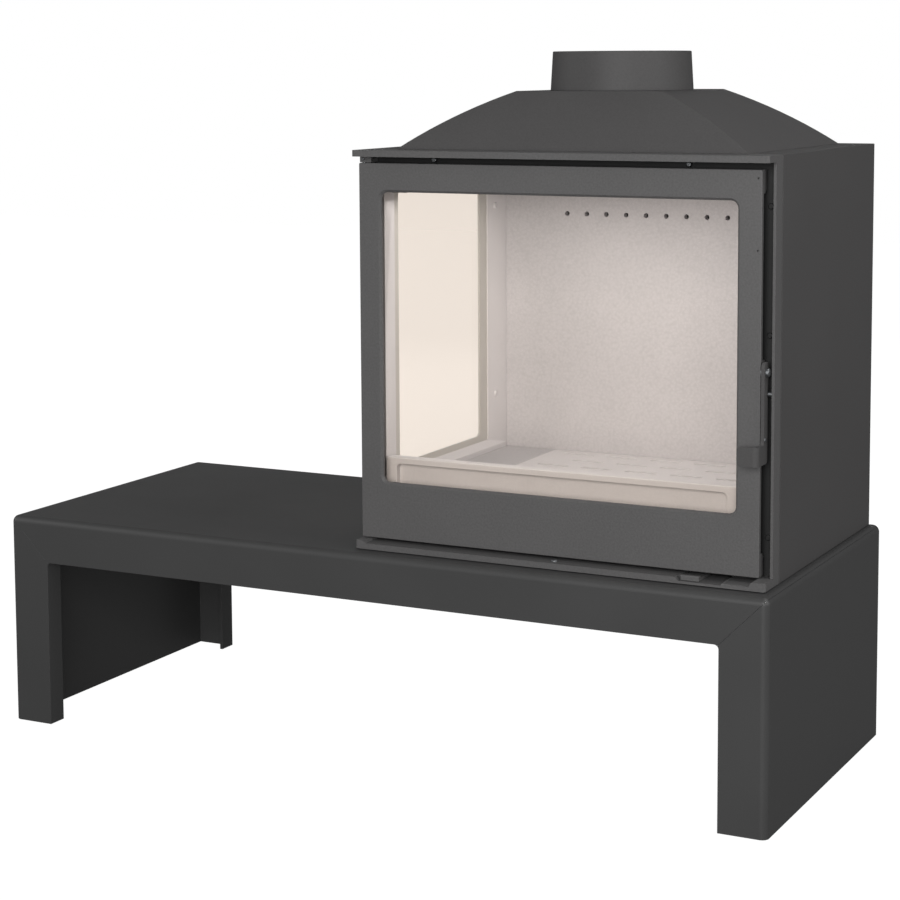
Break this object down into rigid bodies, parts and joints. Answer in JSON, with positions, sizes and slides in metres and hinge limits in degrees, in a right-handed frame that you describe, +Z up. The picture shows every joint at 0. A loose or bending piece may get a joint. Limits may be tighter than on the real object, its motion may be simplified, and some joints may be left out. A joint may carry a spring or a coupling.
{
  "type": "wood burning stove",
  "caption": "Compact wood burning stove with a large glass door, a see-through side window and a domed hood with a top flue collar, standing at one end of a low folded steel bench.",
  "frame": {"origin": "centre of the bench's footprint, on the floor", "axes": "+X to the right along the bench, -Y the way the fire door faces, +Z up along the flue"},
  "size_m": [0.95, 0.4, 0.798],
  "materials": {
    "bench_paint": "satin anthracite powder coat with a fine grain",
    "sheet_steel_paint": "matt anthracite heat-resistant paint on sheet steel",
    "cast_iron_paint": "matt anthracite heat-resistant paint on cast iron",
    "black_steel": "matt black",
    "zinc_steel": "bright zinc plate",
    "vermiculite": "pale pressed vermiculite board",
    "fire_side_paint": "pale heat-resistant coating",
    "ceramic_glass": "clear glass ceramic with a faint warm tint",
    "glass_fibre": "woven grey glass fibre"
  },
  "bodies": {
    "stove": {"air_guide_screws": "zinc_steel", "air_slider_guide": "black_steel", "airwash_deflector": "fire_side_paint", "ash_pan": "black_steel", "back_liner": "vermiculite", "back_panel": "sheet_steel_paint", "back_panel_screws": "black_steel", "baffle_board": "vermiculite", "baffle_bracket": "black_steel", "base_plate": "sheet_steel_paint", "bench_bracket_nuts": "zinc_steel", "bench_brackets": "bench_paint", "bench_left_leg": "bench_paint", "bench_right_leg": "bench_paint", "bench_top": "bench_paint", "catch_pin": "zinc_steel", "deflector_hangers": "zinc_steel", "firebox_back_wall": "black_steel", "firebox_right_wall": "black_steel", "floor_brick_left": "vermiculite", "floor_brick_right": "vermiculite", "flue_collar": "sheet_steel_paint", "frame_bolts": "black_steel", "front_frame": "cast_iron_paint", "gap_screws": "zinc_steel", "grate": "fire_side_paint", "hearth_plate": "black_steel", "hinge_lug_screw": "zinc_steel", "hinge_pins": "zinc_steel", "hood": "sheet_steel_paint", "left_frame_screws": "fire_side_paint", "left_inner_frame": "fire_side_paint", "left_side_panel": "sheet_steel_paint", "log_retainer": "fire_side_paint", "right_liner": "vermiculite", "right_side_panel": "sheet_steel_paint", "side_glass": "ceramic_glass", "side_glass_clips": "black_steel", "side_glass_tape": "glass_fibre", "sill_screw": "zinc_steel", "stove_fixing_bolts": "zinc_steel", "top_plate": "sheet_steel_paint", "upper_deflector": "black_steel"},
    "door": {"door_frame": "cast_iron_paint", "door_glass": "ceramic_glass", "door_glass_tape": "glass_fibre", "door_glass_clips": "zinc_steel", "door_clip_screws": "zinc_steel", "door_rope_seal": "glass_fibre", "handle_spacer": "zinc_steel", "handle_pivot_bolt": "zinc_steel"},
    "handle": {"door_handle": "cast_iron_paint", "handle_rivet": "zinc_steel"},
    "air_slider": {"air_slider": "cast_iron_paint"}
  },
  "joints": [
    {"name": "door_hinge", "type": "hinge", "parent": "stove", "child": "door", "pos_m": [-0.008, -0.157, 0.469], "axis": [0, 0, -1], "range_deg": [0, 110]},
    {"name": "handle_pivot", "type": "hinge", "parent": "door", "child": "handle", "pos_m": [0.4547, -0.1585, 0.4725], "axis": [-1, 0, 0], "range_deg": [0, 60]},
    {"name": "air_slide", "type": "slide", "parent": "stove", "child": "air_slider", "axis": [1, 0, 0], "range_m": [0, 0.024]}
  ]
}
